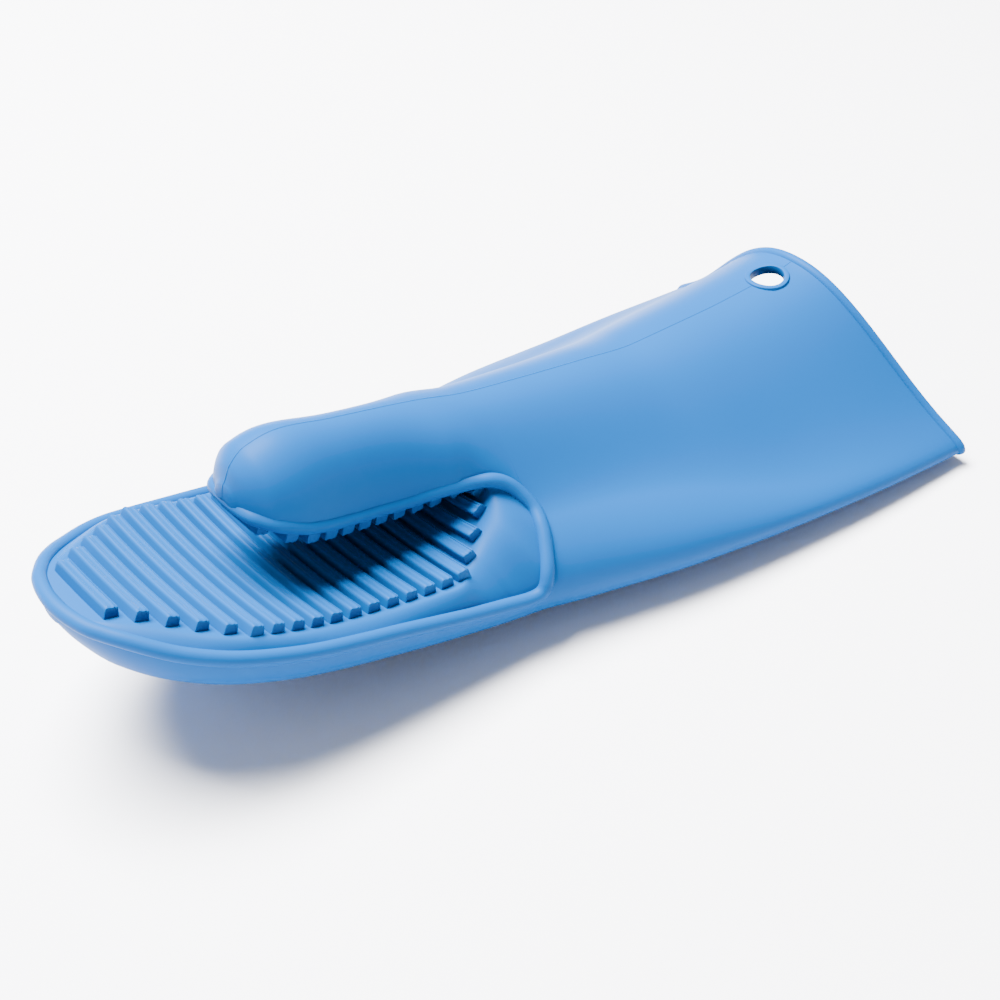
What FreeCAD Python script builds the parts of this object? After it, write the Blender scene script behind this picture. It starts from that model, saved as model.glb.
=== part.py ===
import FreeCAD, Part
import math
import os

# Moulded silicone oven mitt, lying on the back of its hand side.
# Frame: +X runs from the finger tip to the cuff, +Z is up, and Y = 0 is the plane of
# the mould's parting line, about which the mitt is symmetric. The origin is on the
# surface that the mitt lies on, half way along its length. All sizes are millimetres.
# The stations below are measured from a plane ORIGIN_X ahead of the origin.

ORIGIN_X = 9.0
WALL = 2.0                    # moulded wall
BEAD_R = 2.2                  # radius of the bead round the mouth
CUFF_BEAD_R = 1.9             # radius of the bead round the cuff
CUFF_BEAD_HALF = 1.6          # the sleeve's walls stop this far before the cuff bead's centre
CUFF_X = 138.6                # centre of the cuff bead
SLEEVE_FRONT_X = -4.0         # the sleeve's upper wall starts here, behind the crotch
SLEEVE_FLOOR_X = -14.0        # the sleeve's lower wall starts here
SEAM_GAP = 0.1                # between the edges of the sleeve's two walls
THUMB_BACK_X = -34.0          # the thumb moves ahead of this plane
THUMB_TIP_X = -84.0           # centre of the bead at the thumb's tip
FINGER_TIP_X = -138.2         # centre of the bead at the finger's tip

END_OVERLAP = 2.0             # beads run on this far past the thumb's plane before they are cut there
REACH = 200.0                 # beyond every part of the mitt
MOUTH_LIFT = 2.0              # a pocket's hollow is cut this far past its rim

RIB_PITCH = 6.0
RIB_SINK = 0.6                # how far a rib's foot is let into its panel before trimming
RIB_OUTLINE = ((-2.2, -RIB_SINK), (-1.9, 3.0), (-1.4, 3.3), (0.2, 3.3), (0.6, 2.8), (1.0, 3.1),
               (1.8, 2.9), (2.2, -RIB_SINK))   # broad crest, notch and narrow crest: (along, height)
RIB_END_GAP = 0.7             # the thumb's ribs stop this far inside its bead's centre line
FINGER_RIB_FIRST_X = -129.0
FINGER_RIBS = 18
THUMB_RIB_FIRST_X = -79.3
THUMB_RIBS = 8
ROOT_RIBS = 3                 # the thumb's row of ribs goes on across its root

HOLE_R = 5.6                  # hanging hole
EYELET_R = 7.4                # ring round the hanging hole
EYELET_PROUD = 1.0            # the ring stands this far above the sleeve
EYELET_DEEP = 0.4             # and this far below its inner face
HOLE_X = 125.9

# Lower half of the mitt: the finger pocket runs into the sleeve. (x, value)
HALF_WIDTH = ((-139, 5), (-136, 13), (-130, 22), (-120, 30.6), (-105, 38.2), (-85, 42), (-60, 44),
              (-35, 45.4), (-14, 46.8), (5, 51.4), (40, 59.4), (80, 64.5), (110, 66.7), (140.6, 67.5))
RIM_Z = ((-139, 52.3), (-130, 49.6), (-120, 45.2), (-105, 40.3), (-85, 34.4), (-60, 28.4),
         (-35, 22), (-14, 17.8), (40, 13.6), (140.6, 5.1))
BOTTOM_Z = ((-139, 47.5), (-136, 41.5), (-130, 33.5), (-120, 26.5), (-105, 20), (-85, 13.2), (-60, 7),
            (-35, 2.4), (-14, 0), (0, 0), (140.6, 0.9))

SECTION_POWER = 0.87          # below 1 squares the lower half's section; at the cuff it is
CUFF_POWER_FALL = 0.12        # squarer by this much

# Upper half: the ridge over the thumb and the sleeve, and the thumb's own rim.
RIDGE_Z = ((-85, 66.5), (-83, 71), (-78, 75), (-70, 76.3), (-50, 72.1), (-20, 65.4), (-4, 60.9),
           (16, 57.4), (44, 53.2), (66, 50.4), (95, 50.5), (119, 51.6), (134, 53.3), (140.6, 55))
THUMB_HALF_WIDTH = ((-85, 5.5), (-83, 10), (-78, 15.2), (-69, 17), (-55, 15.8), (-45, 15.2),
                    (-34, 15.8), (-15, 20), (-4, 22.5))
THUMB_RIM_Z = ((-85, 60), (-78, 57), (-69, 53), (-55, 48.6), (-45, 46.4), (-34, 44.8), (-15, 44.6),
               (-4, 44.6))
DOME_HEIGHT = ((-14, 24), (0, 24), (40, 20), (90, 12.8), (140.6, 12.8))   # of the sleeve's upper side
BUMP_HALF_WIDTH = ((-14, 33), (0, 34.7), (40, 42), (90, 58.8), (140.6, 67.4))
BUMP_POWER = 1.2              # above 1 squares the ridge's shoulders; less so at the cuff
BUMP_POWER_FALL = 0.1
CUFF_LEAN = 0.33              # the cuff's plane leans back: x gained for each unit down from the ridge
LEAN_POWER = 1.5              # how fast the sections come to lean along the sleeve

# Grip panels and the web between them.
PANEL_MID_Z = ((-137, 52), (-131, 51.4), (-111, 44.4), (-95, 38.4), (-77, 32.4), (-62, 29.2),
               (-51, 27.6), (-40, 26.4), (-20, 25.6))
PANEL_DISH = 2.7              # rise of the finger's panel at DISH_HALF from its middle
DISH_HALF = 35.0
PANEL_SHOULDER = 1.5          # the dish runs on this far past the ribs' ends, but stays at least
RIM_MARGIN = 5.0              # this far inside the rim
RIB_HALF_LENGTH = ((-129, 13), (-105, 30.5), (-99, 33.6), (-69, 35), (-33, 37.5), (-27, 33))
THUMB_PANEL_DROP = 3.2        # the thumb's panel stands this far below its rim
THUMB_PANEL_END_X = -16.0     # the thumb's panel turns down into the web here
WEB_FOOT_X = -24.0            # and the finger's panel turns up into it here
WEB_MOUTH = ((-15.5, 27.2), (-9.8, 31.2), (-8.6, 35.2), (-10.3, 40))      # face in the mouth: (x, z)
WEB_HIDDEN = ((-14.7, 25.3), (-7.9, 30.4), (-6.6, 35.3), (-8.7, 41.5))    # face in the sleeve
WEB_OUTLINE = ((46.5, 17), (43, 22.5), (38.5, 29.5), (33.5, 37), (28, 42), (20, 45))   # (y, z)
WEB_RIBS = ((-20.6, 26.1, 10, 28), (-15.0, 28.2, 32, 23.5),
            (-10.9, 31.9, 60, 18))      # on the web: x, z, lean in degrees, half length
CROTCH_ROUTE = ((-14, 45.6, 18.6), (-8, 43, 22.5), (-4.6, 38.5, 29.5), (-4.4, 33.5, 37),
                (-7.5, 28, 42), (-14, 22, 44.3), (-24, 17, 44.5))         # bead beside the web


def slopes(points):
    """Slope of each point of a curve, limited so that the curve never overshoots."""
    rise = [(b[1] - a[1]) / (b[0] - a[0]) for a, b in zip(points, points[1:])]
    inner = []
    for left, right in zip(rise, rise[1:]):
        same_way = left * right > 0
        inner.append(2 * left * right / (left + right) if same_way else 0.0)
    return [rise[0]] + inner + [rise[-1]]


def curve(points, x):
    """Value at x of the smooth curve through the (x, value) points."""
    x = min(max(x, points[0][0]), points[-1][0])
    slope = slopes(points)
    i = 0
    while x > points[i + 1][0]:
        i += 1
    (x0, v0), (x1, v1) = points[i], points[i + 1]
    step = x1 - x0
    t = (x - x0) / step
    return ((2 * t ** 3 - 3 * t ** 2 + 1) * v0 + (t ** 3 - 2 * t ** 2 + t) * step * slope[i]
            + (3 * t ** 2 - 2 * t ** 3) * v1 + (t ** 3 - t ** 2) * step * slope[i + 1])


def spline(points):
    """Edge through the points."""
    line = Part.BSplineCurve()
    line.interpolate([FreeCAD.Vector(*p) for p in points])
    return line.toShape()


def line(a, b):
    return Part.LineSegment(FreeCAD.Vector(*a), FreeCAD.Vector(*b)).toShape()


def loft(sections):
    """Solid through closed sections, each a list of edges laid end to end."""
    solid = Part.makeLoft([Part.Wire(edges) for edges in sections], True, False)
    if solid.Volume < 0:
        solid.reverse()
    return solid


def leaning(x, z):
    """Where height z of the section at x stands along the mitt."""
    share = (max(x, 0.0) / CUFF_X) ** LEAN_POWER
    return x + CUFF_LEAN * share * (curve(RIDGE_Z, x) - z)


def lower_arc(x, inset=0.0, drop=0.0, steps=12):
    """Points of the lower half's section, from the far rim under the mitt to the near rim."""
    half = curve(HALF_WIDTH, x) - inset
    rim = curve(RIM_Z, x) - drop
    depth = rim - curve(BOTTOM_Z, x) - inset
    power = SECTION_POWER - CUFF_POWER_FALL * max(x, 0.0) / CUFF_X
    points = []
    for i in range(steps + 1):
        turn = math.pi * i / steps
        c = math.cos(turn)
        s = math.sin(turn)
        y = math.copysign(abs(c) ** power, c) * half
        z = rim - depth * s ** power
        points.append((leaning(x, z), y, z))
    return points


def thumb_arc(x, inset=0.0, steps=12):
    """Points of the thumb's section, from the far rim over the ridge to the near rim."""
    half = curve(THUMB_HALF_WIDTH, x) - inset
    rim = curve(THUMB_RIM_Z, x)
    rise = curve(RIDGE_Z, x) - rim - inset
    turns = [math.pi * i / steps for i in range(steps + 1)]
    return [(x, math.cos(t) * half, rim + rise * math.sin(t)) for t in turns]


def bell_height(x, y, inset=0.0):
    """Height of the sleeve's upper wall over the rim: a broad dome with a ridge on it."""
    half = curve(HALF_WIDTH, x) - inset
    rim = curve(RIM_Z, x)
    dome = curve(DOME_HEIGHT, x) - inset
    ridge = curve(RIDGE_Z, x) - inset - rim - dome
    foot = curve(BUMP_HALF_WIDTH, x) - inset
    power = BUMP_POWER - BUMP_POWER_FALL * max(x, 0.0) / CUFF_X
    bump = math.cos(math.pi / 2 * min(abs(y) / foot, 1.0) ** power) ** 2
    return rim + dome * math.sqrt(max(1 - (y / half) ** 2, 0.0)) + ridge * bump


def bell_arc(x, inset=0.0, steps=16):
    """Points of the sleeve's upper section, from the far rim over the ridge to the near rim."""
    half = curve(HALF_WIDTH, x) - inset
    points = []
    for i in range(steps + 1):
        y = half * math.cos(math.pi * i / steps)
        z = bell_height(x, y, inset)
        points.append((leaning(x, z), y, z))
    return points


def wall_section(outer, inner):
    """Closed section between an outer and an inner arc."""
    return [spline(outer), line(outer[-1], inner[-1]), spline(inner[::-1]), line(inner[0], outer[0])]


def pocket_section(arc, lift):
    """Closed section of a pocket's hollow, whose open side runs on past the rim by lift."""
    start = arc[0]
    end = arc[-1]
    start_out = (start[0], start[1], start[2] + lift)
    end_out = (end[0], end[1], end[2] + lift)
    return [spline(arc), line(end, end_out), line(end_out, start_out), line(start_out, start)]


def lid_section(arc):
    """Closed section of an arc and its chord."""
    return [spline(arc), line(arc[-1], arc[0])]


def trim(solid, *cutters):
    """The main piece of a solid after the cutters are taken away."""
    for cutter in cutters:
        solid = solid.cut(cutter)
    return max(solid.Solids, key=lambda piece: piece.Volume)


def block(low_x, high_x):
    """Box that holds everything between two planes across the mitt."""
    return Part.makeBox(high_x - low_x, 2 * REACH, 2 * REACH, FreeCAD.Vector(low_x, -REACH, -REACH))


def tube(points, radius):
    """Round bead along a smooth route."""
    route = Part.BSplineCurve()
    route.interpolate([FreeCAD.Vector(*p) for p in points])
    edge = route.toShape()
    start = edge.valueAt(edge.FirstParameter)
    ahead = edge.tangentAt(edge.FirstParameter)
    ring = Part.Wire(Part.makeCircle(radius, start, ahead))
    solid = Part.Wire(edge).makePipeShell([ring], True, True)
    if solid.Volume < 0:
        solid.reverse()
    return solid


def panel_height(x, y):
    """Upper surface of the finger's grip panel."""
    rim_half = curve(HALF_WIDTH, x) - WALL / 2
    shoulder = min(curve(RIB_HALF_LENGTH, x) + PANEL_SHOULDER, rim_half - RIM_MARGIN)
    mid = curve(PANEL_MID_Z, x)
    dish = PANEL_DISH * (min(abs(y), shoulder) / DISH_HALF) ** 2
    if abs(y) <= shoulder:
        return mid + dish
    run = (abs(y) - shoulder) / max(rim_half - shoulder, 1.0)
    return mid + dish + (curve(RIM_Z, x) - mid - dish) * run ** 2


def finger_panel():
    """Dished plate that closes the finger pocket and carries the ribs."""
    sections = []
    for x in (-134.5, -131, -125, -115, -100, -80, -60, -40, WEB_FOOT_X):
        half = curve(HALF_WIDTH, x) - WALL / 2
        ys = [half * f for f in (1, 0.8, 0.55, 0.28, 0, -0.28, -0.55, -0.8, -1)]
        top = [(x, y, panel_height(x, y)) for y in ys]
        low = [(x, y, z - WALL) for x, y, z in top]
        sections.append(wall_section(top, low))
    return loft(sections)


def thumb_panel_z(x):
    """Ribbed face of the thumb's panel, which looks down."""
    return curve(THUMB_RIM_Z, x) - THUMB_PANEL_DROP


def thumb_panel(xs):
    """Plate that closes the thumb pocket and carries the thumb's ribs."""
    sections = []
    for x in xs:
        half = curve(THUMB_HALF_WIDTH, x) - WALL / 2
        low = thumb_panel_z(x)
        high = low + WALL
        corners = [(x, half, high), (x, half, low), (x, -half, low), (x, -half, high)]
        sections.append([line(a, b) for a, b in zip(corners, corners[1:] + corners[:1])])
    return loft(sections)


def rib(x, half_length, height_at, up):
    """Bar with a broad crest and a narrow one, laid across a panel that height_at gives."""
    slope = math.atan((height_at(x + 1, 0) - height_at(x - 1, 0)) / 2)
    sections = []
    for part_way in (-1, -0.5, 0, 0.5, 1):
        y = part_way * half_length
        z = height_at(x, y)
        corners = []
        for along, rise in RIB_OUTLINE:
            rise *= up
            corners.append((x + along * math.cos(slope) - rise * math.sin(slope), y,
                            z + along * math.sin(slope) + rise * math.cos(slope)))
        sections.append([line(a, b) for a, b in zip(corners, corners[1:] + corners[:1])])
    return loft(sections)


def finger_rim():
    """Route of the bead round the finger pocket's mouth, from the near side to the far side."""
    xs = (WEB_FOOT_X, -42, -60, -85, -105, -120, -130, -136)
    near = [(x, -curve(HALF_WIDTH, x) + WALL / 2, curve(RIM_Z, x)) for x in xs]
    tip = [(FINGER_TIP_X, 0, curve(RIM_Z, FINGER_TIP_X))]
    far = [(x, -y, z) for x, y, z in near[::-1]]
    return near + tip + far


def thumb_rim():
    """Route of the bead round the thumb pocket's mouth, from the near side to the far side."""
    xs = (THUMB_BACK_X + END_OVERLAP, -45, -57, -69, -77, -82)
    near = [(x, -curve(THUMB_HALF_WIDTH, x) + WALL / 2, curve(THUMB_RIM_Z, x)) for x in xs]
    tip = [(THUMB_TIP_X, 0, curve(THUMB_RIM_Z, THUMB_TIP_X))]
    far = [(x, -y, z) for x, y, z in near[::-1]]
    return near + tip + far


def crotch_route(side):
    """Route of the bead up one side of the crotch, from the finger's rim to the thumb's rim."""
    finger_y = curve(HALF_WIDTH, WEB_FOOT_X) - WALL / 2
    head_x = THUMB_BACK_X - END_OVERLAP
    thumb_y = curve(THUMB_HALF_WIDTH, head_x) - WALL / 2
    foot = (WEB_FOOT_X, finger_y, curve(RIM_Z, WEB_FOOT_X))
    head = (head_x, thumb_y, curve(THUMB_RIM_Z, head_x))
    return [(x, side * y, z) for x, y, z in (foot,) + CROTCH_ROUTE + (head,)]


def web():
    """Curved wall at the back of the mouth, from the finger's panel up to the thumb's panel."""
    low = curve(PANEL_MID_Z, WEB_FOOT_X)
    high = thumb_panel_z(THUMB_PANEL_END_X)
    mouth = ((WEB_FOOT_X, low),) + WEB_MOUTH + ((THUMB_PANEL_END_X, high),)
    hidden = ((WEB_FOOT_X, low - WALL),) + WEB_HIDDEN + ((THUMB_PANEL_END_X, high + WALL),)
    mouth = [(x, 0, z) for x, z in mouth]
    hidden = [(x, 0, z) for x, z in hidden]
    face = Part.Face(Part.Wire(wall_section(mouth, hidden)))
    widest = 2 * WEB_OUTLINE[0][0]
    slab = face.extrude(FreeCAD.Vector(0, widest, 0))
    slab.translate(FreeCAD.Vector(0, -widest / 2, 0))
    corners = [(WEB_FOOT_X, y, z) for y, z in WEB_OUTLINE]
    corners += [(x, -y, z) for x, y, z in corners[::-1]]
    outline = Part.makePolygon([FreeCAD.Vector(*c) for c in corners + corners[:1]])
    return slab.common(Part.Face(outline).extrude(FreeCAD.Vector(-WEB_FOOT_X, 0, 0)))


def thumb_rib(x):
    """Rib under the thumb's panel."""
    half = curve(THUMB_HALF_WIDTH, x - RIB_PITCH / 2) - WALL / 2 - RIB_END_GAP
    return rib(x, half, lambda along, across: thumb_panel_z(along), -1)


def web_rib(x, z, turn, half_length):
    """Rib at the web's foot, leaning so that its crest looks out of the mouth."""
    bar = rib(0, half_length, lambda along, across: 0.0, 1)
    bar.rotate(FreeCAD.Vector(0, 0, 0), FreeCAD.Vector(0, 1, 0), -turn)
    bar.translate(FreeCAD.Vector(x, 0, z))
    return bar


def cuff_rim():
    """Bead round the open end of the sleeve."""
    over = []
    under = []
    for along in (-CUFF_BEAD_HALF, -0.9, 0, 0.9, 1.5, 1.8):
        x = CUFF_X + along
        bulge = math.sqrt(CUFF_BEAD_R ** 2 - along ** 2) - WALL / 2
        over.append(wall_section(bell_arc(x, -bulge), bell_arc(x, WALL + bulge)))
        under.append(wall_section(lower_arc(x, -bulge), lower_arc(x, WALL + bulge)))
    return loft(over).fuse(loft(under)).removeSplitter()


def build():
    parts = {}

    finger_bead = tube(finger_rim(), BEAD_R)
    finger_xs = (-139, -136, -130, -120, -105, -85, -60, -35, SLEEVE_FLOOR_X)
    hollow_xs = (-136, -133, -127, -118, -104, -85, -60, -35, SLEEVE_FLOOR_X + 1)
    finger_outer = loft([lid_section(lower_arc(x)) for x in finger_xs])
    finger_hollow = loft([pocket_section(lower_arc(x, WALL), MOUTH_LIFT) for x in hollow_xs])
    crotch_beads = {"left": tube(crotch_route(1), BEAD_R), "right": tube(crotch_route(-1), BEAD_R)}
    beads = [finger_bead] + list(crotch_beads.values())
    panel = trim(finger_panel(), *beads)
    parts["finger_back_shell"] = trim(finger_outer, finger_hollow, *beads)
    parts["finger_grip_panel"] = panel
    parts["finger_bead"] = finger_bead
    for i in range(FINGER_RIBS):
        x = FINGER_RIB_FIRST_X + i * RIB_PITCH
        bar = rib(x, curve(RIB_HALF_LENGTH, x), panel_height, 1)
        parts["finger_rib_%02d" % (i + 1)] = trim(bar, panel)

    thumb_bead = tube(thumb_rim(), BEAD_R)
    thumb_xs = (-85, -83, -78, -69, -55, -45, THUMB_BACK_X)
    thumb_hollow_xs = (-82.5, -80.5, -76.5, -68, -55, -45, THUMB_BACK_X + 1)
    thumb_outer = loft([lid_section(thumb_arc(x)) for x in thumb_xs])
    thumb_hollow = loft([pocket_section(thumb_arc(x, WALL), -MOUTH_LIFT) for x in thumb_hollow_xs])
    parts["thumb_shell"] = trim(thumb_outer, thumb_hollow, thumb_bead)
    pad = trim(thumb_panel((-81, -78, -70, -58, -46, THUMB_BACK_X)), thumb_bead)
    parts["thumb_grip_panel"] = pad
    parts["thumb_bead"] = trim(thumb_bead, block(THUMB_BACK_X, REACH))
    for i in range(THUMB_RIBS):
        x = THUMB_RIB_FIRST_X + i * RIB_PITCH
        parts["thumb_rib_%02d" % (i + 1)] = trim(thumb_rib(x), pad, thumb_bead)
    return parts, crotch_beads


def add_sleeve(parts, crotch_beads):
    root_xs = (THUMB_BACK_X, -24, -14, SLEEVE_FRONT_X)
    root_wall = loft([wall_section(thumb_arc(x), thumb_arc(x, WALL)) for x in root_xs])
    gusset = web()
    root_panel = thumb_panel((THUMB_BACK_X, -25, THUMB_PANEL_END_X))
    wall_end = CUFF_X - CUFF_BEAD_HALF
    upper_xs = (SLEEVE_FRONT_X, 12, 35, 60, 85, 110, wall_end)
    upper = loft([wall_section(bell_arc(x), bell_arc(x, WALL)) for x in upper_xs])
    lower_xs = (SLEEVE_FLOOR_X,) + upper_xs
    lower_arcs = [(lower_arc(x, 0.0, SEAM_GAP), lower_arc(x, WALL, SEAM_GAP)) for x in lower_xs]
    lower = loft([wall_section(outer, inner) for outer, inner in lower_arcs])
    beads = list(crotch_beads.values())
    rise = curve(RIDGE_Z, HOLE_X + HOLE_R) - curve(RIDGE_Z, HOLE_X - HOLE_R)
    lean = math.degrees(math.atan(rise / (2 * HOLE_R)))
    foot = FreeCAD.Vector(HOLE_X, 0, curve(RIDGE_Z, HOLE_X) - WALL - EYELET_DEEP)
    height = EYELET_DEEP + WALL + EYELET_PROUD
    plug = Part.makeCylinder(EYELET_R, 3 * height, foot - FreeCAD.Vector(0, 0, height))
    ring = Part.makeCylinder(EYELET_R, height, foot).cut(Part.makeCylinder(HOLE_R, height, foot))
    for piece in (plug, ring):
        piece.rotate(foot, FreeCAD.Vector(0, 1, 0), -lean)
    parts["sleeve_palm_wall"] = trim(upper, plug, *beads)
    parts["sleeve_back_wall"] = trim(lower, *beads)
    parts["cuff_rim"] = cuff_rim()
    parts["hanging_eyelet"] = ring
    parts["thumb_root"] = trim(root_wall, *beads)
    parts["thumb_root_panel"] = trim(root_panel, *beads)
    parts["mouth_web"] = trim(gusset, root_panel, *beads)
    for i in range(ROOT_RIBS):
        x = THUMB_RIB_FIRST_X + (THUMB_RIBS + i) * RIB_PITCH
        parts["thumb_root_rib_%02d" % (i + 1)] = trim(thumb_rib(x), root_panel, *beads)
    for i, place in enumerate(WEB_RIBS):
        parts["web_rib_%02d" % (i + 1)] = trim(web_rib(*place), gusset, *beads)
    for side, bead in crotch_beads.items():
        parts["crotch_bead_" + side] = trim(bead, parts["finger_bead"], block(-REACH, THUMB_BACK_X))


def main():
    parts, crotch_beads = build()
    add_sleeve(parts, crotch_beads)
    os.makedirs("parts", exist_ok=True)
    for name, shape in parts.items():
        shape.translate(FreeCAD.Vector(-ORIGIN_X, 0, 0))
        shape.exportStep("parts/%s.step" % name)
        box = shape.BoundBox
        print("%-20s solids %d valid %s volume %9.1f  x %7.1f %7.1f  y %6.1f %6.1f  z %6.1f %6.1f" % (
            name, len(shape.Solids), shape.isValid(), shape.Volume, box.XMin, box.XMax,
            box.YMin, box.YMax, box.ZMin, box.ZMax))


main()
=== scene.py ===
import math

import bpy
import numpy as np
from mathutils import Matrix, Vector
from mathutils.bvhtree import BVHTree


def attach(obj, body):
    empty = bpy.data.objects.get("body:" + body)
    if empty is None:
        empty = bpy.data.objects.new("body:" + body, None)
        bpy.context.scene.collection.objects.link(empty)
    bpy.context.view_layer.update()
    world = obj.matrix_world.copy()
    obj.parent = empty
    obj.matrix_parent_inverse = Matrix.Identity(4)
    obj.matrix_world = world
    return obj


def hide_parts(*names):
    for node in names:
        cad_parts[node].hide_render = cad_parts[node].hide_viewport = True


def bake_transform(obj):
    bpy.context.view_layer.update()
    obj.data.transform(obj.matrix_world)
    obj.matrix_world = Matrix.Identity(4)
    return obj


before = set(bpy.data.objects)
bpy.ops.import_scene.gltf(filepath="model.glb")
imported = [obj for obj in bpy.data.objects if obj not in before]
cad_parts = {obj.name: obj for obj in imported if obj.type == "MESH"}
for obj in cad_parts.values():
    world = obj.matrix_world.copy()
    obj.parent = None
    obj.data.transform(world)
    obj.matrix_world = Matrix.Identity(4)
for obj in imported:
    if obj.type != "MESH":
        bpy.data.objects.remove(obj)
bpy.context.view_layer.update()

# A moulded silicone oven mitt. Lengths are millimetres in the CAD frame until a mesh is
# made: +X runs from finger tip to cuff, +Z is up, Y = 0 is the parting line's plane.
MM = 0.001
ORIGIN_X = 9.0                # the tables' x is measured from a plane this far ahead of the origin
WALL = 2.0
BEAD_R = 2.2
CUFF_BEAD_R = 1.9
CUFF_X = 138.6
RIB_PITCH = 6.0
FINGER_RIB_FIRST_X, FINGER_RIBS = -129, 18
THUMB_RIB_FIRST_X, THUMB_RIBS, ROOT_RIBS = -79.3, 8, 3
WEB_FOOT_X = -24              # the finger's panel turns up into the web here
HOLE_X, HOLE_R, EYELET_R, EYELET_PROUD = 125.9, 5.6, 7.4, 0.9
EDGE_R = 6.5                  # the sleeve's skin ends on this circle, under the hole's ring
FLASH_R, FLASH_SINK = 0.28, 0.12    # parting line's flash: radius, and depth of its centre

HALF_WIDTH = ((-139, 5), (-136, 13), (-130, 22), (-120, 30.6), (-105, 38.2), (-85, 42), (-60, 44),
              (-35, 45.4), (-14, 46.8), (5, 51.4), (40, 59.4), (80, 64.5), (110, 66.7), (140.6, 67.5))
RIM_Z = ((-139, 52.3), (-130, 49.6), (-120, 45.2), (-105, 40.3), (-85, 34.4), (-60, 28.4),
         (-35, 22), (-14, 17.8), (40, 13.6), (140.6, 5.1))
BOTTOM_Z = ((-139, 47.5), (-136, 41.5), (-130, 33.5), (-120, 26.5), (-105, 20), (-85, 13.2), (-60, 7),
            (-35, 2.4), (-14, 0), (0, 0), (140.6, 0.9))
RIDGE_Z = ((-85, 66.5), (-83, 71), (-78, 75), (-70, 76.3), (-50, 72.1), (-20, 65.4), (-4, 60.9),
           (16, 57.4), (44, 53.2), (66, 50.4), (95, 50.5), (119, 51.6), (134, 53.3), (140.6, 55))
THUMB_HALF_WIDTH = ((-85, 5.5), (-83, 10), (-78, 15.2), (-69, 17), (-55, 15.8), (-45, 15.2),
                    (-34, 15.8), (-15, 20), (-4, 22.5))
THUMB_RIM_Z = ((-85, 60), (-78, 57), (-69, 53), (-55, 48.6), (-45, 46.4), (-34, 44.8), (-15, 44.6),
               (-4, 44.6))
DOME_HEIGHT = ((-14, 24), (0, 24), (40, 20), (90, 12.8), (140.6, 12.8))
BUMP_HALF_WIDTH = ((-14, 33), (0, 34.7), (40, 42), (90, 58.8), (140.6, 67.4))
BUMP_POWER, BUMP_POWER_FALL = 1.2, 0.1
CUFF_LEAN, LEAN_POWER = 0.33, 1.5
SECTION_POWER, CUFF_POWER_FALL = 0.87, 0.12
PANEL_MID_Z = ((-137, 52), (-131, 51.4), (-111, 44.4), (-95, 38.4), (-77, 32.4), (-62, 29.2),
               (-51, 27.6), (-40, 26.4), (-20, 25.6))
PANEL_DISH, DISH_HALF = 2.7, 35.0
PANEL_SHOULDER, RIM_MARGIN = 1.5, 5.0    # the dish runs on past the ribs, and stays inside the rim
RIB_HALF_LENGTH = ((-129, 13), (-105, 30.5), (-99, 33.6), (-69, 35), (-33, 37.5), (-27, 33))
THUMB_PANEL_DROP, RIB_END_GAP = 3.2, 0.7
THUMB_SHOULDER = 0.92         # flat share of the thumb panel's half width

# Bead's centre up the far side of the crotch, from the finger's rim to the thumb's.
CROTCH = ((-15.3, 46.1, 18.4), (-12.1, 46.7, 19.4), (-10.6, 46.7, 21.2), (-9, 45.5, 24.6),
          (-5.5, 40.4, 29.9), (-3.5, 36.4, 33), (-2, 31, 35.8), (-3.6, 27, 39.3), (-6.4, 24, 42.6),
          (-10.3, 21.8, 44.6), (-14.4, 19.6, 44.7))
# The mouth's lining behind the straight panels: middle (x, z), shoulder (x, y, z), bead (x, y, z).
THROAT = (((-29, 27.3), (-29, 33.5, 29.7), (-26, 44.8, 19.9)),
          ((-23, 29.3), (-23, 30, 32.2), (-17, 45.7, 18.2)),
          ((-17, 32.8), (-16.6, 26.5, 36.2), (-9.6, 46.3, 23.2)),
          ((-12.5, 36.7), (-12.6, 22.5, 39.6), (-4.5, 38.6, 31.5)),
          ((-10.3, 39.6), (-11.0, 19.6, 41.6), (-2, 31, 35.8)),
          ((-11.2, 42.3), (-12.6, 17.6, 43), (-5.0, 25.4, 41.2)),
          ((-15, 43.1), (-16.2, 15.8, 43.3), (-12.5, 20.6, 44.8)))
WEB_RIBS = ((-21.1, 28.6, 38), (-15.6, 24.2, 40.3), (-11.9, 19.4, 41.2))    # x, half length, z over it
RIB_PROFILE = ((-2.3, -0.8), (-1.95, 2.4), (-1.8, 2.95), (-1.45, 3.25), (-1.0, 3.3), (-0.5, 3.15),
               (0.0, 3.0), (0.45, 3.05), (0.8, 3.2), (1.05, 3.12), (1.2, 2.8), (1.35, 2.78),
               (1.5, 3.0), (1.75, 2.98), (1.92, 2.6), (2.3, -0.8))


def curve(points, x):
    """Values at x, an array, of the smooth curve through the (x, value) points."""
    px, pv = np.array(points, float).T
    x = np.clip(np.asarray(x, float), px[0], px[-1])
    rise = np.diff(pv) / np.diff(px)
    slope = np.concatenate(([rise[0]], np.zeros(len(px) - 2), [rise[-1]]))
    same = rise[:-1] * rise[1:] > 0
    slope[1:-1][same] = 2 * (rise[:-1] * rise[1:])[same] / (rise[:-1] + rise[1:])[same]
    i = np.clip(np.searchsorted(px, x, side="right") - 1, 0, len(px) - 2)
    step = px[i + 1] - px[i]
    t = (x - px[i]) / step
    return ((2 * t ** 3 - 3 * t ** 2 + 1) * pv[i] + (t ** 3 - 2 * t ** 2 + t) * step * slope[i]
            + (3 * t ** 2 - 2 * t ** 3) * pv[i + 1] + (t ** 3 - t ** 2) * step * slope[i + 1])


def smooth(t):
    """Eased step from 0 to 1."""
    t = np.clip(t, 0, 1)
    return t * t * (3 - 2 * t)


def lengths(line):
    """Length along a polyline at each of its points."""
    return np.concatenate(([0], np.cumsum(np.linalg.norm(np.diff(line, axis=0), axis=1))))


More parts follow.
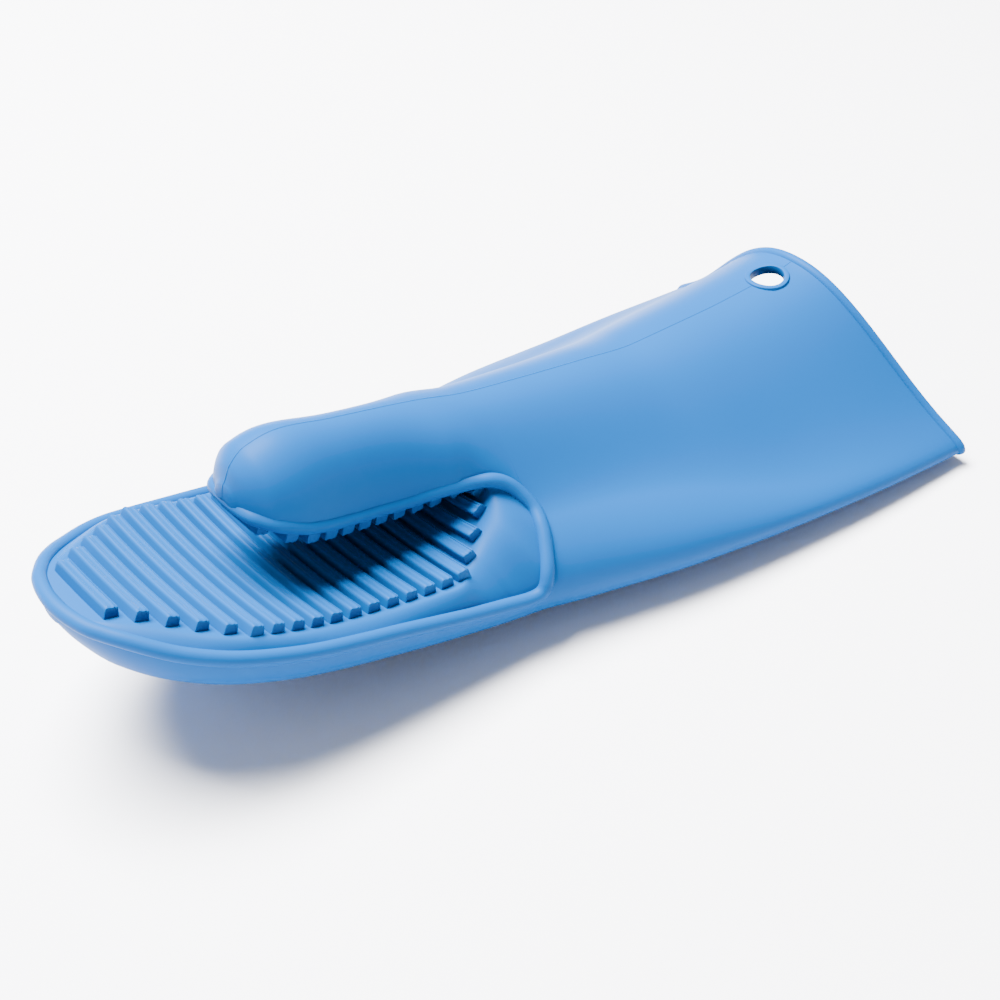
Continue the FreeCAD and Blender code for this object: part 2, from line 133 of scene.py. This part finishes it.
def at_length(line, s):
    """Points at the lengths s along a polyline."""
    have = lengths(line)
    return np.stack([np.interp(s, have, line[:, k]) for k in range(line.shape[1])], 1)


def resample(line, count):
    """Evenly spaced points along a polyline."""
    return at_length(line, np.linspace(0, 1, count) * lengths(line)[-1])


def catmull(points, per=24):
    """Dense smooth polyline through the points, with knots spaced by the root of their distance."""
    p = np.array(points, float)
    p = np.vstack([2 * p[0] - p[1], p, 2 * p[-1] - p[-2]])
    knots = np.concatenate(([0], np.cumsum(np.linalg.norm(np.diff(p, axis=0), axis=1) ** 0.5)))
    out = []
    for i in range(1, len(p) - 2):
        k = knots[i - 1:i + 3]
        t = np.linspace(k[1], k[2], per, endpoint=False)[:, None]
        a = [(k[j + 1] - t) / (k[j + 1] - k[j]) * p[i - 1 + j] + (t - k[j]) / (k[j + 1] - k[j]) * p[i + j]
             for j in range(3)]
        b = [(k[j + 2] - t) / (k[j + 2] - k[j]) * a[j] + (t - k[j]) / (k[j + 2] - k[j]) * a[j + 1]
             for j in range(2)]
        out.append((k[2] - t) / (k[2] - k[1]) * b[0] + (t - k[1]) / (k[2] - k[1]) * b[1])
    return np.vstack(out + [p[-2:-1]])


def grid_normals(grid, closed=False):
    """Unit normals of a grid of points, rows by columns."""
    g = np.concatenate([grid[:, -2:-1], grid, grid[:, 1:2]], 1) if closed else grid
    n = np.cross(np.gradient(g, axis=0), np.gradient(g, axis=1))
    n = n[:, 1:-1] if closed else n
    return n / np.maximum(np.linalg.norm(n, axis=2, keepdims=True), 1e-9)


def make_mesh(name, points, faces, normals=None):
    """Smooth object from points in the tables' millimetres."""
    mesh = bpy.data.meshes.new(name)
    mesh.from_pydata(((np.asarray(points) - (ORIGIN_X, 0, 0)) * MM).tolist(), [], faces)
    mesh.validate()
    mesh.shade_smooth()
    if normals is not None:
        mesh.normals_split_custom_set_from_vertices(np.asarray(normals).tolist())
    else:
        mesh.set_sharp_from_angle(angle=math.radians(38))
    obj = bpy.data.objects.new(name, mesh)
    bpy.context.scene.collection.objects.link(obj)
    return obj


def shell(name, grid, normals, keep=None, closed=False):
    """Closed shell under a grid: the grid, its copy a wall's thickness below, and the edges between."""
    rows, cols = grid.shape[:2]
    index = np.arange(rows * cols).reshape(rows, cols)
    if closed:
        index[:, -1] = index[:, 0]
    faces = []
    for r in range(rows - 1):
        for c in range(cols - 1):
            quad = [index[r, c], index[r + 1, c], index[r + 1, c + 1], index[r, c + 1]]
            if keep is None or keep[r, c] and keep[r + 1, c] and keep[r + 1, c + 1] and keep[r, c + 1]:
                faces.append([int(v) for v in quad])
    sides = {}
    for f in faces:
        for a, b in zip(f, f[1:] + f[:1]):
            sides[(a, b)] = True
    open_sides = [(a, b) for a, b in sides if (b, a) not in sides]
    total = rows * cols
    flat, n = grid.reshape(-1, 3), normals.reshape(-1, 3)
    points = np.vstack([flat, flat - n * WALL])
    faces = faces + [[v + total for v in f[::-1]] for f in faces]
    faces += [[b, a, a + total, b + total] for a, b in open_sides]
    used = np.unique(np.array([v for f in faces for v in f]))
    to_new = {int(v): i for i, v in enumerate(used)}
    faces = [[to_new[v] for v in f] for f in faces]
    return make_mesh(name, points[used], faces, np.vstack([n, -n])[used])


def tube_grid(line, radius, across, sides=20):
    """Rings of a tube along a polyline; across is a direction that is never along it."""
    along = np.gradient(line, axis=0)
    along /= np.linalg.norm(along, axis=1, keepdims=True)
    u = np.cross(along, across)
    u /= np.linalg.norm(u, axis=1, keepdims=True)
    v = np.cross(along, u)
    turns = np.linspace(0, 2 * math.pi, sides + 1)
    ring = np.cos(turns)[None, :, None] * u[:, None] + np.sin(turns)[None, :, None] * v[:, None]
    return line[:, None] + radius * ring, ring


def solid_rings(name, grid, normals=None, loop=False):
    """Closed mesh over rings, capped at both ends unless the rings form a loop."""
    rows, cols = grid.shape[0], grid.shape[1] - 1
    points = grid[:, :-1].reshape(-1, 3)
    faces = []
    for r in range(rows if loop else rows - 1):
        for c in range(cols):
            d, e = (r + 1) % rows, (c + 1) % cols
            faces.append([r * cols + c, r * cols + e, d * cols + e, d * cols + c])
    if not loop:
        faces.append(list(range(cols))[::-1])
        faces.append([(rows - 1) * cols + c for c in range(cols)])
    flat = None if normals is None else normals[:, :-1].reshape(-1, 3)
    return make_mesh(name, points, faces, flat)


# ---- sections of the skin, far side only: from the middle of one side to the edge ----
def bell_z(x, y):
    """Height of the sleeve's upper side: a broad dome with a ridge on it."""
    half, rim, dome = curve(HALF_WIDTH, x), curve(RIM_Z, x), curve(DOME_HEIGHT, x)
    ridge = curve(RIDGE_Z, x) - rim - dome
    foot = curve(BUMP_HALF_WIDTH, x)
    power = BUMP_POWER - BUMP_POWER_FALL * max(x, 0) / CUFF_X
    bump = np.cos(math.pi / 2 * np.minimum(np.abs(y) / foot, 1) ** power) ** 2
    return rim + dome * np.sqrt(np.maximum(1 - (y / half) ** 2, 0)) + ridge * bump


def leaning(x, z):
    """Where heights z of the section at x stand along the mitt."""
    share = (max(x, 0) / CUFF_X) ** LEAN_POWER
    return x + CUFF_LEAN * share * (curve(RIDGE_Z, x) - z)


def bell_line(x, y0, y1, count=160):
    """Bell's section at x from y0 to y1, dense where it is steep."""
    half = float(curve(HALF_WIDTH, x))
    turn = np.linspace(math.asin(min(y0 / half, 1)), math.asin(min(y1 / half, 1)), count)
    y = half * np.sin(turn)
    z = bell_z(x, y)
    return np.stack([leaning(x, z), y, z], 1)


def lower_line(x, count=160):
    """Lower section at x from the rim down to the middle of the underside."""
    half, rim = float(curve(HALF_WIDTH, x)), float(curve(RIM_Z, x))
    depth = rim - float(curve(BOTTOM_Z, x))
    power = SECTION_POWER - CUFF_POWER_FALL * max(x, 0) / CUFF_X
    turn = np.linspace(0, math.pi / 2, count)
    z = rim - depth * np.sin(turn) ** power
    return np.stack([leaning(x, z), half * np.cos(turn) ** power, z], 1)


def thumb_line(x, count=160):
    """Thumb's section at x from the ridge to the rim."""
    half, rim = float(curve(THUMB_HALF_WIDTH, x)), float(curve(THUMB_RIM_Z, x))
    rise = float(curve(RIDGE_Z, x)) - rim
    turn = np.linspace(math.pi / 2, 0, count)
    return np.stack([np.full(count, x), half * np.cos(turn), rim + rise * np.sin(turn)], 1)


# ---- the bead's route, far side: finger tip, finger rim, crotch, thumb rim, thumb tip ----
finger_xs = (-136, -133, -130, -125, -120, -112, -105, -95, -85, -72, -60, -48, -36, -25)
thumb_xs = (-20, -27, -34, -40, -45, -50, -55, -62, -69, -74, -78, -81, -83)
route = [(-138.2, 0, float(curve(RIM_Z, -138.2)))]
route += [(x, float(curve(HALF_WIDTH, x)) - WALL / 2, float(curve(RIM_Z, x))) for x in finger_xs]
route += list(CROTCH)
route += [(x, float(curve(THUMB_HALF_WIDTH, x)) - WALL / 2, float(curve(THUMB_RIM_Z, x))) for x in thumb_xs]
route += [(-84, 0, float(curve(THUMB_RIM_Z, -84)))]
mirror = np.array([1, -1, 1])
dense = catmull(np.vstack([np.array(route[1:2]) * mirror, route, np.array(route[-2:-1]) * mirror]))
inside = dense[:, 1] >= -1e-9
first, last = np.argmax(inside), len(inside) - np.argmax(inside[::-1])
bead_line = resample(dense[first:last], 900)
bead_line[0, 1] = bead_line[-1, 1] = 0
bead_s = lengths(bead_line)
apex = int(np.argmax(bead_line[:, 0]))
SPLIT_X = float(bead_line[apex, 0])      # the skin divides here into the thumb's and the finger's side


def bead_at(point):
    """Length along the bead's route of the place nearest to a point."""
    return bead_s[np.argmin(np.linalg.norm(bead_line - np.array(point), axis=1))]


def edge_point(x, thumb_side):
    """Place at x on the bead's route, on the thumb's or the finger's side of its apex."""
    part = bead_line[apex:] if thumb_side else bead_line[:apex + 1][::-1]
    i = int(np.argmax(part[:, 0] <= x))
    j = max(i - 1, 0)
    run = part[j, 0] - part[i, 0]
    t = 0 if run < 1e-9 else (part[j, 0] - x) / run
    return part[j] + (part[i] - part[j]) * t


def both_sides(half_line, from_edge):
    """A section on both sides from its far half; from_edge tells whether the half starts at its edge."""
    line = half_line if from_edge else half_line[::-1]
    return np.vstack([line, (line * mirror)[::-1][1:]])


def eased(line, end):
    """The line, moved more and more towards its end so that it stops at the given point."""
    t = lengths(line) / lengths(line)[-1]
    return line + (np.array(end) - line[-1]) * (t ** 3)[:, None]


UPPER, LOWER = 44, 56


def upper_half(x):
    """Far half of the section over the ridge, from the ridge to the bead."""
    if x >= SPLIT_X:
        y = float(np.interp(x, (SPLIT_X, 20, CUFF_X), (bead_line[apex, 1], 34, 42)))
        return resample(bell_line(x, 0, y), UPPER)
    edge = edge_point(x, True)
    bell = resample(bell_line(x, 0, edge[1]), 160)
    round_part = resample(thumb_line(x), 160)
    mix = smooth((SPLIT_X - x) / 20)
    line = bell * (1 - mix) + round_part * mix
    line[:, 1] = np.minimum(line[:, 1], np.maximum.accumulate(line[:, 1]))
    if x > -20:
        line = eased(line, edge + np.array([0, 0.4, 0]) * mix)
    return resample(line, UPPER)


def lower_half(x):
    """Far half of the section under the bead, from the bead to the middle of the underside."""
    start = None
    if x >= SPLIT_X:
        start = float(np.interp(x, (SPLIT_X, 20, CUFF_X), (bead_line[apex, 1], 34, 42)))
    elif x > -12.5:
        start = min(float(edge_point(x, False)[1]), float(curve(HALF_WIDTH, x)) - 0.3)
    line = lower_line(x)
    if start is not None:
        line = np.vstack([bell_line(x, start, float(curve(HALF_WIDTH, x)))[:-1], line])
    return resample(line, LOWER)


def capped(rows, x_end, reach, centre_z):
    """Rounded end: rows that shrink to a point beyond the last one."""
    last_row = rows[-1]
    centre = np.array([x_end, 0, centre_z])
    out = list(rows)
    for a in np.radians((18, 36, 54, 70, 82, 89.6)):
        row = centre + (last_row - centre) * math.cos(a)
        row[:, 0] = x_end - reach * math.sin(a)
        out.append(row)
    return np.array(out)


near_split = SPLIT_X - np.array((0, 0.03, 0.12, 0.3, 0.6, 1, 1.6, 2.4, 3.4, 4.6, 6, 7.5, 9, 10.5, 12))
sleeve_xs = np.concatenate([np.arange(SPLIT_X, 112, 2.0), np.arange(112, CUFF_X - 1.2, 1.0), [CUFF_X - 1.2]])
thumb_rows_x = np.concatenate([near_split, np.arange(near_split[-1] - 1.6, -76, -1.6),
                               (-77, -78.2, -79.4, -80.6, -81.7, -82.6, -83.4, -84, -84.5, -85)])
finger_rows_x = np.concatenate([near_split, np.arange(near_split[-1] - 2, -130, -2.0),
                                (-131, -132.3, -133.6, -134.8, -135.8, -136.7, -137.5, -138.1, -138.6, -139)])


def sleeve_row(x):
    """Whole section of the sleeve."""
    over = both_sides(upper_half(x), False)
    under = both_sides(lower_half(x), True)[::-1]
    return np.vstack([over, under[1:]])


# Rows run towards the finger tip, so a few rows of the sleeve go before those of the strips,
# and the strips' normals meet the sleeve's.
sleeve = np.array([sleeve_row(x) for x in sleeve_xs[::-1]])
lead = [SPLIT_X + 4, SPLIT_X + 2]
thumb = capped([both_sides(upper_half(x), False) for x in [*lead, *thumb_rows_x]], -85, 1.2, 61.5)
finger = capped([both_sides(lower_half(x), True)[::-1] for x in [*lead, *finger_rows_x]], -139, 1.0, 51.5)
sleeve_n = grid_normals(sleeve, closed=True)
thumb_n, finger_n = grid_normals(thumb), grid_normals(finger)


def outward(grid, normals, centre):
    """Turns all the normals round if most of them look inward."""
    side = np.sum((grid - np.array(centre)) * normals, axis=2)
    return normals if np.median(side) > 0 else -normals


sleeve_n = outward(sleeve, sleeve_n, (60, 0, 25))
thumb_n = outward(thumb, thumb_n, (-45, 0, 50))
finger_n = outward(finger, finger_n, (-70, 0, 45))
thumb_n[-1] = finger_n[-1] = (-1, 0, 0)
thumb, thumb_n, finger, finger_n = thumb[2:], thumb_n[2:], finger[2:], finger_n[2:]

# Hanging hole: the grid is cleared round its axis, and the edge is drawn in to a circle.
hole_z = float(curve(RIDGE_Z, HOLE_X))
lean = math.atan(float(curve(RIDGE_Z, HOLE_X + HOLE_R) - curve(RIDGE_Z, HOLE_X - HOLE_R)) / (2 * HOLE_R))
hole_axis = np.array([-math.sin(lean), 0, math.cos(lean)])
hole_centre = np.array([HOLE_X, 0, hole_z])
offset = sleeve - hole_centre
flat_offset = offset - (offset @ hole_axis)[:, :, None] * hole_axis
distance = np.linalg.norm(flat_offset, axis=2)
above = sleeve[:, :, 2] > 30
keep = ~((distance < EDGE_R) & above)
around = np.zeros_like(keep)
for dr in (-1, 0, 1):
    for dc in (-1, 0, 1):
        around |= ~np.roll(np.roll(keep, dr, 0), dc, 1)
edge = around & keep
shrink = (EDGE_R / np.maximum(distance, 1e-6))[:, :, None]
sleeve = np.where(edge[:, :, None], sleeve - flat_offset * (1 - shrink), sleeve)
sleeve[:, -1] = sleeve[:, 0]


def oriented(grid, normals):
    """The grid with its columns in the order that makes its faces look along the normals."""
    r, c = grid.shape[0] // 2, grid.shape[1] // 4
    face = np.cross(grid[r + 1, c] - grid[r, c], grid[r, c + 1] - grid[r, c])
    if np.dot(face, normals[r, c]) < 0:
        return grid[:, ::-1], normals[:, ::-1], True
    return grid, normals, False


sleeve, sleeve_n, flipped = oriented(sleeve, sleeve_n)
keep = keep[:, ::-1] if flipped else keep
thumb, thumb_n, _ = oriented(thumb, thumb_n)
finger, finger_n, _ = oriented(finger, finger_n)
bending, rigid = [], []        # pieces of the sleeve, thumb and throat, left loose in the world frame, and the others, attached to the mitt's body


def piece(obj, blended, *nodes):
    """Registers a piece in place of the CAD nodes."""
    (bending if blended else rigid).append(obj)
    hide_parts(*nodes)
    return obj


piece(shell("sleeve_skin", sleeve, sleeve_n, keep=keep, closed=True), True,
      "sleeve_palm_wall", "sleeve_back_wall")
piece(shell("thumb_skin", thumb, thumb_n), True, "thumb_shell", "thumb_root")
piece(shell("finger_skin", finger, finger_n), False, "finger_back_shell")

# ---- bead round the mouth ----
bead_loop = np.vstack([bead_line, (bead_line * mirror)[::-1][1:-1]])
BEAD_STEP = 2


def bead_tube(start, stop):
    """Tube along the loop between two places given as counts of its points, which may run past its end."""
    i = np.arange(start, stop + 1, BEAD_STEP) % len(bead_loop)
    padded = bead_loop[np.concatenate(([i[0] - BEAD_STEP], i, [(i[-1] + BEAD_STEP) % len(bead_loop)]))]
    grid, ring = tube_grid(padded, BEAD_R, np.array([0.45, 0, 0.89]))
    return grid[1:-1], ring[1:-1]


seam_at = int(np.argmin(np.linalg.norm(bead_line - np.array((-14, 46.3, 18.7)), axis=1)))
seam_at -= seam_at % BEAD_STEP
total = len(bead_loop)
grid, ring = bead_tube(seam_at, total - seam_at)
piece(solid_rings("mouth_bead", grid, ring), True, "thumb_bead", "crotch_bead_left", "crotch_bead_right")
grid, ring = bead_tube(total - seam_at, total + seam_at)
piece(solid_rings("finger_rim_bead", grid, ring), False, "finger_bead")


# ---- lining of the mouth ----
def finger_knot(x):
    half = float(curve(HALF_WIDTH, x)) - WALL / 2
    mid = float(curve(PANEL_MID_Z, x))
    y = min(float(curve(RIB_HALF_LENGTH, x)) + PANEL_SHOULDER, half - RIM_MARGIN)
    return (x, mid), (x, y, mid + PANEL_DISH * (y / DISH_HALF) ** 2), (x, half, float(curve(RIM_Z, x)))


def thumb_knot(x):
    half = float(curve(THUMB_HALF_WIDTH, x)) - WALL / 2
    z = float(curve(THUMB_RIM_Z, x)) - THUMB_PANEL_DROP
    return (x, z), (x, half * THUMB_SHOULDER, z), (x, half, z + THUMB_PANEL_DROP)


knots = [finger_knot(x) for x in (-135.5, -133, -130, -125, -120, -114, -108, -102, -96, -88, -80,
                                  -70, -60, -50, -42, -35)]
knots += list(THROAT)
knots += [thumb_knot(x) for x in (-22, -28, -34, -40, -46, -52, -58, -64, -70, -75, -79, -82)]
per = 8
middle = catmull([(m[0], 0, m[1]) for m, _, _ in knots], per)
shoulder = catmull([s for _, s, _ in knots], per)
edge_s = catmull([(bead_at(e), 0) for _, _, e in knots], per)[:, 0]
rim = np.stack([np.interp(edge_s, bead_s, bead_line[:, k]) for k in range(3)], 1)
steps = 14                    # from the middle to the shoulder, and from there to the bead
lining = []
for m, s, e, place in zip(middle, shoulder, rim, edge_s):
    if place < bead_s[apex]:
        e = e - np.array([0, 0, 1.0 if e[0] < -20 else 0.4])
    t = np.linspace(0, 1, steps + 1)[:, None]
    dish = m + (s - m) * np.array([1, 0, 1]) * t ** 2 + (s - m) * np.array([0, 1, 0]) * t
    run = e[1] - s[1]
    slope = (s - m) * np.array([2, 0, 2]) / max(s[1], 1e-6) * run + np.array([0, run, 0])
    arrive = (e - s) * np.array([1.9, 1, 1.9])
    t = np.linspace(0, 1, steps + 1)[1:, None]
    bend = ((2 * t ** 3 - 3 * t ** 2 + 1) * s + (t ** 3 - 2 * t ** 2 + t) * slope
            + (3 * t ** 2 - 2 * t ** 3) * e + (t ** 3 - t ** 2) * arrive)
    lining.append(both_sides(np.vstack([dish, bend])[::-1], True))
lining = np.array(lining)
lining_n = grid_normals(lining)
lining_n *= np.sign(np.median(lining_n[:30, :, 2]))        # the finger's panel looks up
lower_rows = (len(knots) * per) // 2
cut = int(np.argmin(np.abs(middle[:lower_rows, 0] - WEB_FOOT_X)))
lining, lining_n, _ = oriented(lining, lining_n)
piece(shell("finger_panel", lining[:cut + 1], lining_n[:cut + 1]), False, "finger_grip_panel")
piece(shell("throat_and_thumb_panel", lining[cut:], lining_n[cut:]), True,
      "mouth_web", "thumb_root_panel", "thumb_grip_panel")

# ---- ribs, each in a plane across the mitt ----
rows, cols = lining.shape[:2]
quads = [(r * cols + c, (r + 1) * cols + c, (r + 1) * cols + c + 1, r * cols + c + 1)
         for r in range(rows - 1) for c in range(cols - 1)]
tree = BVHTree.FromPolygons(lining.reshape(-1, 3).tolist(), quads)


def foot_at(x, y, z, up):
    """Place on the lining under, or over, the point, and the lining's normal there in the XZ plane."""
    hit, normal, _, _ = tree.ray_cast(Vector((x, y, z)), Vector((0, 0, -up)))
    normal = np.array((normal[0], normal[2]))
    normal *= np.sign(normal[1]) * up
    return np.array(hit), normal / np.linalg.norm(normal)


def rib(name, x, half, z, up):
    """Bar across the lining from -half to half, with rounded drafted ends."""
    inset = ((0.0, 0.30), (0.12, 0.78), (0.35, 0.93), (0.8, 1.0))
    stations = [(-half + d, k) for d, k in inset]
    stations += [(y, 1.0) for y in np.linspace(-half + 2, half - 2, 15)]
    stations += [(half - d, k) for d, k in inset[::-1]]
    _, turn = foot_at(x, 0, z, up)
    rings = []
    for y, k in stations:
        hit, n = foot_at(x, y, z, up)
        n = n if abs(y) < 1 else (n + turn) / np.linalg.norm(n + turn)
        along = np.array((n[1], -n[0])) * up
        ring = []
        for a, h in RIB_PROFILE:
            lift = h * k if h > 0 else h
            px, pz = hit[0] + a * along[0] + lift * n[0], hit[2] + a * along[1] + lift * n[1]
            ring.append((px, y, pz))
        rings.append(ring + ring[:1])
    return solid_rings(name, np.array(rings)[:, ::1 if up < 0 else -1])


OPEN_Z, MOUTH_Z = 56, 41      # heights over the finger's panel: ahead of the thumb, and under it
for i in range(FINGER_RIBS):
    x = FINGER_RIB_FIRST_X + i * RIB_PITCH
    half = float(curve(RIB_HALF_LENGTH, x))
    node = "finger_rib_%02d" % (i + 1)
    piece(rib(node + "_bar", x, half, OPEN_Z if x < -90 else MOUTH_Z, 1), False, node)
for i, (x, half, z) in enumerate(WEB_RIBS):
    node = "web_rib_%02d" % (i + 1)
    piece(rib(node + "_bar", x, half, z, 1), True, node)
for i in range(THUMB_RIBS + ROOT_RIBS):
    x = THUMB_RIB_FIRST_X + i * RIB_PITCH
    half = float(curve(THUMB_HALF_WIDTH, x - RIB_PITCH / 2)) - WALL / 2 - RIB_END_GAP
    on_root = i >= THUMB_RIBS
    node = "thumb_root_rib_%02d" % (i - THUMB_RIBS + 1) if on_root else "thumb_rib_%02d" % (i + 1)
    z = float(curve(THUMB_RIM_Z, x)) - 7
    piece(rib(node + "_bar", x, half, z, -1), True, node)

# ---- cuff bead, ring round the hole, parting line ----
outline = resample(sleeve_row(CUFF_X), 420)
tangent = np.gradient(outline, axis=0)
tangent[0] = tangent[-1] = outline[1] - outline[-2]
cuff_axis = np.array((1, 0, CUFF_LEAN)) / math.hypot(1, CUFF_LEAN)
side = np.cross(tangent, cuff_axis)
side /= np.linalg.norm(side, axis=1, keepdims=True)
side *= np.sign(np.sum(side * (outline - outline.mean(0)), axis=1).mean())
cuff_line = (outline - side * WALL / 2)[:-1]
turns = np.linspace(0, 2 * math.pi, 21)
ring = np.cos(turns)[None, :, None] * side[:-1, None] - np.sin(turns)[None, :, None] * cuff_axis
piece(solid_rings("cuff_bead", cuff_line[:, None] + CUFF_BEAD_R * ring, ring, loop=True), True, "cuff_rim")

SECTION = ((HOLE_R + 0.25, -WALL - 0.4), (HOLE_R, -WALL), (HOLE_R, 0.5), (HOLE_R + 0.12, 0.8),
           (HOLE_R + 0.4, EYELET_PROUD), (EYELET_R - 0.5, EYELET_PROUD), (EYELET_R - 0.15, 0.75),
           (EYELET_R, 0.45), (EYELET_R + 0.1, -0.8), (EYELET_R + 0.1, -WALL - 0.4))
hole_u = np.array([math.cos(lean), 0, math.sin(lean)])
rings = []
for turn in np.linspace(0, 2 * math.pi, 96, endpoint=False):
    out = hole_u * math.cos(turn) + np.array((0, 1.0, 0)) * math.sin(turn)
    drop = float(bell_z(HOLE_X, EYELET_R * math.sin(turn))) - hole_z
    rings.append([hole_centre + out * r + hole_axis * (h + drop) for r, h in SECTION + SECTION[:1]])
piece(solid_rings("hanging_ring", np.array(rings)[:, ::-1], loop=True), True, "hanging_eyelet")


def parting_line(name, line):
    """Thin flash along a line in the plane Y = 0."""
    line = np.array(line)
    tangent = np.gradient(line, axis=0)
    n = np.stack([tangent[:, 2], np.zeros(len(line)), -tangent[:, 0]], 1)
    n /= np.linalg.norm(n, axis=1, keepdims=True)
    n *= np.sign(n[len(n) // 2, 2] or 1)
    grid, ring = tube_grid(line - n * FLASH_SINK, FLASH_R, np.array((0, 1.0, 0)), 8)
    obj = solid_rings(name, grid, ring)
    bending.append(obj)


ridge_xs = np.linspace(CUFF_X - 1.5, HOLE_X + EYELET_R, 8)
parting_line("parting_line_cuff", [(x, 0, float(curve(RIDGE_Z, x))) for x in ridge_xs])
ridge_xs = np.linspace(HOLE_X - EYELET_R, -85, 220)
tip = thumb[:, thumb.shape[1] // 2][-6:-1]
parting_line("parting_line_ridge", [(x, 0, float(curve(RIDGE_Z, x))) for x in ridge_xs] + tip.tolist())

# ---- silicone ----
silicone = bpy.data.materials.new("silicone_satin")
silicone.use_nodes = True
nodes, links = silicone.node_tree.nodes, silicone.node_tree.links
shader = nodes["Principled BSDF"]
shader.inputs["Metallic"].default_value = 0
shader.inputs["IOR"].default_value = 1.41
shader.inputs["Specular IOR Level"].default_value = 0.06
where = nodes.new("ShaderNodeTexCoord")


def noise(scale, detail):
    n = nodes.new("ShaderNodeTexNoise")
    n.inputs["Scale"].default_value = scale
    n.inputs["Detail"].default_value = detail
    links.new(where.outputs["Object"], n.inputs["Vector"])
    return n


broad, fine = noise(14, 3), noise(1500, 2)
tint = nodes.new("ShaderNodeMix")
tint.data_type = "RGBA"
tint.inputs["A"].default_value = (0.000, 0.055, 0.198, 1)
tint.inputs["B"].default_value = (0.000, 0.061, 0.216, 1)
links.new(broad.outputs["Fac"], tint.inputs["Factor"])
links.new(tint.outputs["Result"], shader.inputs["Base Color"])
gloss = nodes.new("ShaderNodeMapRange")
gloss.inputs["To Min"].default_value = 0.40
gloss.inputs["To Max"].default_value = 0.50
links.new(broad.outputs["Fac"], gloss.inputs["Value"])
links.new(gloss.outputs["Result"], shader.inputs["Roughness"])
bump = nodes.new("ShaderNodeBump")
bump.inputs["Strength"].default_value = 0.06
bump.inputs["Distance"].default_value = 0.0002
links.new(fine.outputs["Fac"], bump.inputs["Height"])
links.new(bump.outputs["Normal"], shader.inputs["Normal"])

# The tables' zero lies this far along X from the origin; the camera is placed against it.
shift = Vector((ORIGIN_X * MM, 0, 0))
for obj in bending:
    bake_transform(obj)
for obj in rigid:
    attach(obj, "mitt_body")
for obj in [*bending, *rigid, *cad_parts.values()]:
    obj.data.materials.clear()
    obj.data.materials.append(silicone)

# ---- floor, light, camera ----
floor_mesh = bpy.data.meshes.new("floor")
floor_mesh.from_pydata([(-6, -6, 0), (6, -6, 0), (6, 6, 0), (-6, 6, 0)], [], [(0, 1, 2, 3)])
floor = bpy.data.objects.new("floor", floor_mesh)
bpy.context.scene.collection.objects.link(floor)
floor.location.z = -0.0002
paper = bpy.data.materials.new("floor_paper")
paper.use_nodes = True
paper_shader = paper.node_tree.nodes["Principled BSDF"]
paper_shader.inputs["Base Color"].default_value = (0.84, 0.84, 0.87, 1)
paper_shader.inputs["Roughness"].default_value = 0.9
paper_shader.inputs["Specular IOR Level"].default_value = 0.1
floor_mesh.materials.append(paper)


def area_light(name, place, target, size, watts):
    data = bpy.data.lights.new(name, "AREA")
    data.shape = "RECTANGLE"
    data.size, data.size_y = size
    data.energy = watts
    lamp = bpy.data.objects.new(name, data)
    lamp.location = place
    lamp.rotation_euler = (Vector(target) - Vector(place)).to_track_quat("-Z", "Y").to_euler()
    bpy.context.scene.collection.objects.link(lamp)


area_light("overhead", (-0.15, 0.50, 1.35), (0, 0, 0.03), (1.1, 0.8), 250)
area_light("front_fill", (-0.3, -1.3, 0.8), (0, 0, 0.03), (1.4, 0.8), 2)
area_light("tip_side", (-1.2, 0.2, 0.7), (-0.05, 0, 0.03), (0.8, 0.8), 3)

world = bpy.data.worlds.new("studio")
world.use_nodes = True
world.node_tree.nodes["Background"].inputs["Color"].default_value = (0.96, 0.97, 1.0, 1)
world.node_tree.nodes["Background"].inputs["Strength"].default_value = 0.4
bpy.context.scene.world = world

camera_data = bpy.data.cameras.new("camera")
camera_data.lens = 64.8
camera_data.sensor_width = 36
camera_data.clip_start = 0.01
camera = bpy.data.objects.new("camera", camera_data)
camera.location = Vector((-0.2750, -0.3464, 0.3531)) - shift
camera.rotation_euler = Vector((0.5082, 0.6159, -0.6020)).to_track_quat("-Z", "Y").to_euler()
bpy.context.scene.collection.objects.link(camera)
bpy.context.scene.camera = camera

bpy.context.view_layer.update()
